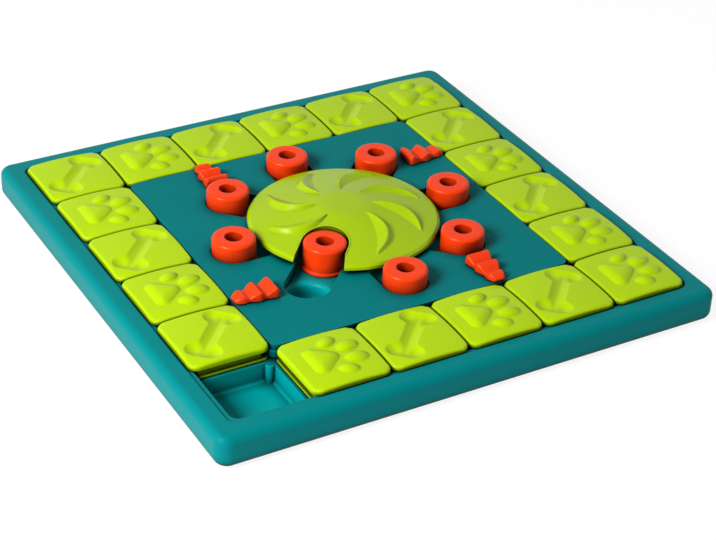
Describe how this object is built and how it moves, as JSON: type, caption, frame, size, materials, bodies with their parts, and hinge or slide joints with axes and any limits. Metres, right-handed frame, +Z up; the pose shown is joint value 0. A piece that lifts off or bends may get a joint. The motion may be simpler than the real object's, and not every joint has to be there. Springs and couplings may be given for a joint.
{
  "type": "sliding puzzle feeder board",
  "caption": "Square treat puzzle board for dogs, with a ring of sliding tiles over pits, a turning swirl wheel, sliding cups over bowls and push locks.",
  "frame": {"origin": "centre of the board, on the surface that its rubber feet stand on", "axes": "+Z up, -Y towards the board's front edge, +X to its right"},
  "size_m": [0.435, 0.435, 0.0499],
  "materials": {
    "frame_plastic": "smooth moulded teal plastic with a soft gloss",
    "tray_plastic": "smooth moulded teal plastic with a soft gloss",
    "panel_plastic": "fine-textured moulded teal plastic",
    "wheel_plastic": "smooth moulded lime plastic with a soft gloss",
    "tile_plastic": "smooth moulded lime plastic with a soft gloss",
    "glide_plastic": "moulded lime plastic",
    "cup_plastic": "smooth moulded red-orange plastic with a soft gloss",
    "lock_plastic": "smooth moulded red-orange plastic with a soft gloss",
    "foot_rubber": "matt rubber",
    "screw_steel": "bright steel"
  },
  "bodies": {
    "board": {"frame_shell": "frame_plastic", "compartment_tray": "tray_plastic", "centre_panel": "panel_plastic", "rubber_feet": "foot_rubber", "frame_screws": "screw_steel"},
    "wheel": {"wheel": "wheel_plastic", "wheel_washer": "screw_steel", "wheel_screw": "screw_steel"},
    "cup_right": {"cup_right": "cup_plastic"},
    "cup_back_right": {"cup_back_right": "cup_plastic"},
    "cup_back": {"cup_back": "cup_plastic"},
    "cup_back_left": {"cup_back_left": "cup_plastic"},
    "cup_left": {"cup_left": "cup_plastic"},
    "cup_front_left": {"cup_front_left": "cup_plastic"},
    "cup_front": {"cup_front": "cup_plastic"},
    "cup_front_right": {"cup_front_right": "cup_plastic"},
    "lock_right": {"lock_right": "lock_plastic"},
    "lock_back": {"lock_back": "lock_plastic"},
    "lock_left": {"lock_left": "lock_plastic"},
    "lock_front": {"lock_front": "lock_plastic"},
    "tile_10": {"paw_tile_10": "tile_plastic", "glide_10": "glide_plastic"},
    "tile_20": {"bone_tile_20": "tile_plastic", "glide_20": "glide_plastic"},
    "tile_30": {"paw_tile_30": "tile_plastic", "glide_30": "glide_plastic"},
    "tile_40": {"bone_tile_40": "tile_plastic", "glide_40": "glide_plastic"},
    "tile_50": {"paw_tile_50": "tile_plastic", "glide_50": "glide_plastic"},
    "tile_51": {"paw_tile_51": "tile_plastic", "glide_51": "glide_plastic"},
    "tile_52": {"bone_tile_52": "tile_plastic", "glide_52": "glide_plastic"},
    "tile_53": {"paw_tile_53": "tile_plastic", "glide_53": "glide_plastic"},
    "tile_54": {"bone_tile_54": "tile_plastic", "glide_54": "glide_plastic"},
    "tile_55": {"paw_tile_55": "tile_plastic", "glide_55": "glide_plastic"},
    "tile_45": {"bone_tile_45": "tile_plastic", "glide_45": "glide_plastic"},
    "tile_35": {"paw_tile_35": "tile_plastic", "glide_35": "glide_plastic"},
    "tile_25": {"bone_tile_25": "tile_plastic", "glide_25": "glide_plastic"},
    "tile_15": {"paw_tile_15": "tile_plastic", "glide_15": "glide_plastic"},
    "tile_05": {"bone_tile_05": "tile_plastic", "glide_05": "glide_plastic"},
    "tile_04": {"paw_tile_04": "tile_plastic", "glide_04": "glide_plastic"},
    "tile_03": {"bone_tile_03": "tile_plastic", "glide_03": "glide_plastic"},
    "tile_02": {"paw_tile_02": "tile_plastic", "glide_02": "glide_plastic"},
    "tile_01": {"bone_tile_01": "tile_plastic", "glide_01": "glide_plastic"}
  },
  "joints": [
    {"name": "wheel_turn", "type": "hinge", "parent": "board", "child": "wheel", "pos_m": [0, 0, 0.03], "axis": [0, 0, 1], "range_deg": [0, 360]},
    {"name": "cup_right_slide", "type": "slide", "parent": "board", "child": "cup_right", "axis": [-1, 0, 0], "range_m": [0, 0.0025]},
    {"name": "cup_back_right_slide", "type": "slide", "parent": "board", "child": "cup_back_right", "axis": [-0.7071, -0.7071, 0], "range_m": [0, 0.0025]},
    {"name": "cup_back_slide", "type": "slide", "parent": "board", "child": "cup_back", "axis": [0, -1, 0], "range_m": [0, 0.0025]},
    {"name": "cup_back_left_slide", "type": "slide", "parent": "board", "child": "cup_back_left", "axis": [0.7071, -0.7071, 0], "range_m": [0, 0.0025]},
    {"name": "cup_left_slide", "type": "slide", "parent": "board", "child": "cup_left", "axis": [1, 0, 0], "range_m": [0, 0.0025]},
    {"name": "cup_front_left_slide", "type": "slide", "parent": "wheel", "child": "cup_front_left", "axis": [0.7071, 0.7071, 0], "range_m": [-0.04655, 0]},
    {"name": "cup_front_slide", "type": "slide", "parent": "board", "child": "cup_front", "axis": [0, 1, 0], "range_m": [0, 0.0025]},
    {"name": "cup_front_right_slide", "type": "slide", "parent": "board", "child": "cup_front_right", "axis": [-0.7071, 0.7071, 0], "range_m": [0, 0.0025]},
    {"name": "lock_right_slide", "type": "slide", "parent": "board", "child": "lock_right", "axis": [1, 0, 0], "range_m": [0, 0.0055]},
    {"name": "lock_back_slide", "type": "slide", "parent": "board", "child": "lock_back", "axis": [0, 1, 0], "range_m": [0, 0.0055]},
    {"name": "lock_left_slide", "type": "slide", "parent": "board", "child": "lock_left", "axis": [-1, 0, 0], "range_m": [0, 0.0055]},
    {"name": "lock_front_slide", "type": "slide", "parent": "board", "child": "lock_front", "axis": [0, -1, 0], "range_m": [0, 0.0055]},
    {"name": "tile_01_slide", "type": "slide", "parent": "board", "child": "tile_01", "axis": [0, -1, 0], "range_m": [0, 0.0665]},
    {"name": "tile_02_slide", "type": "slide", "parent": "board", "child": "tile_02", "axis": [0, -1, 0], "range_m": [0, 0.0665]},
    {"name": "tile_03_slide", "type": "slide", "parent": "board", "child": "tile_03", "axis": [0, -1, 0], "range_m": [0, 0.0665]},
    {"name": "tile_04_slide", "type": "slide", "parent": "board", "child": "tile_04", "axis": [0, -1, 0], "range_m": [0, 0.0665]},
    {"name": "tile_05_slide", "type": "slide", "parent": "board", "child": "tile_05", "axis": [0, -1, 0], "range_m": [0, 0.0665]},
    {"name": "tile_10_slide", "type": "slide", "parent": "board", "child": "tile_10", "axis": [1, 0, 0], "range_m": [-0.0665, 0]},
    {"name": "tile_20_slide", "type": "slide", "parent": "board", "child": "tile_20", "axis": [1, 0, 0], "range_m": [-0.0665, 0]},
    {"name": "tile_30_slide", "type": "slide", "parent": "board", "child": "tile_30", "axis": [1, 0, 0], "range_m": [-0.0665, 0]},
    {"name": "tile_40_slide", "type": "slide", "parent": "board", "child": "tile_40", "axis": [1, 0, 0], "range_m": [-0.0665, 0]},
    {"name": "tile_50_slide", "type": "slide", "parent": "board", "child": "tile_50", "axis": [1, 0, 0], "range_m": [-0.0665, 0]},
    {"name": "tile_15_slide", "type": "slide", "parent": "board", "child": "tile_15", "axis": [-1, 0, 0], "range_m": [0, 0.0008]},
    {"name": "tile_25_slide", "type": "slide", "parent": "board", "child": "tile_25", "axis": [-1, 0, 0], "range_m": [0, 0.0008]},
    {"name": "tile_35_slide", "type": "slide", "parent": "board", "child": "tile_35", "axis": [-1, 0, 0], "range_m": [0, 0.0008]},
    {"name": "tile_45_slide", "type": "slide", "parent": "board", "child": "tile_45", "axis": [-1, 0, 0], "range_m": [0, 0.0008]},
    {"name": "tile_55_slide", "type": "slide", "parent": "board", "child": "tile_55", "axis": [-1, 0, 0], "range_m": [0, 0.0008]},
    {"name": "tile_51_slide", "type": "slide", "parent": "board", "child": "tile_51", "axis": [0, 1, 0], "range_m": [0, 0.0008]},
    {"name": "tile_52_slide", "type": "slide", "parent": "board", "child": "tile_52", "axis": [0, 1, 0], "range_m": [0, 0.0008]},
    {"name": "tile_53_slide", "type": "slide", "parent": "board", "child": "tile_53", "axis": [0, 1, 0], "range_m": [0, 0.0008]},
    {"name": "tile_54_slide", "type": "slide", "parent": "board", "child": "tile_54", "axis": [0, 1, 0], "range_m": [0, 0.0008]}
  ],
  "couplings": [
    {"joint": "tile_02_slide", "follows": "tile_01_slide", "ratio": 1},
    {"joint": "tile_03_slide", "follows": "tile_01_slide", "ratio": 1},
    {"joint": "tile_04_slide", "follows": "tile_01_slide", "ratio": 1},
    {"joint": "tile_05_slide", "follows": "tile_01_slide", "ratio": 1},
    {"joint": "tile_20_slide", "follows": "tile_10_slide", "ratio": 1},
    {"joint": "tile_30_slide", "follows": "tile_10_slide", "ratio": 1},
    {"joint": "tile_40_slide", "follows": "tile_10_slide", "ratio": 1},
    {"joint": "tile_50_slide", "follows": "tile_10_slide", "ratio": 1}
  ]
}
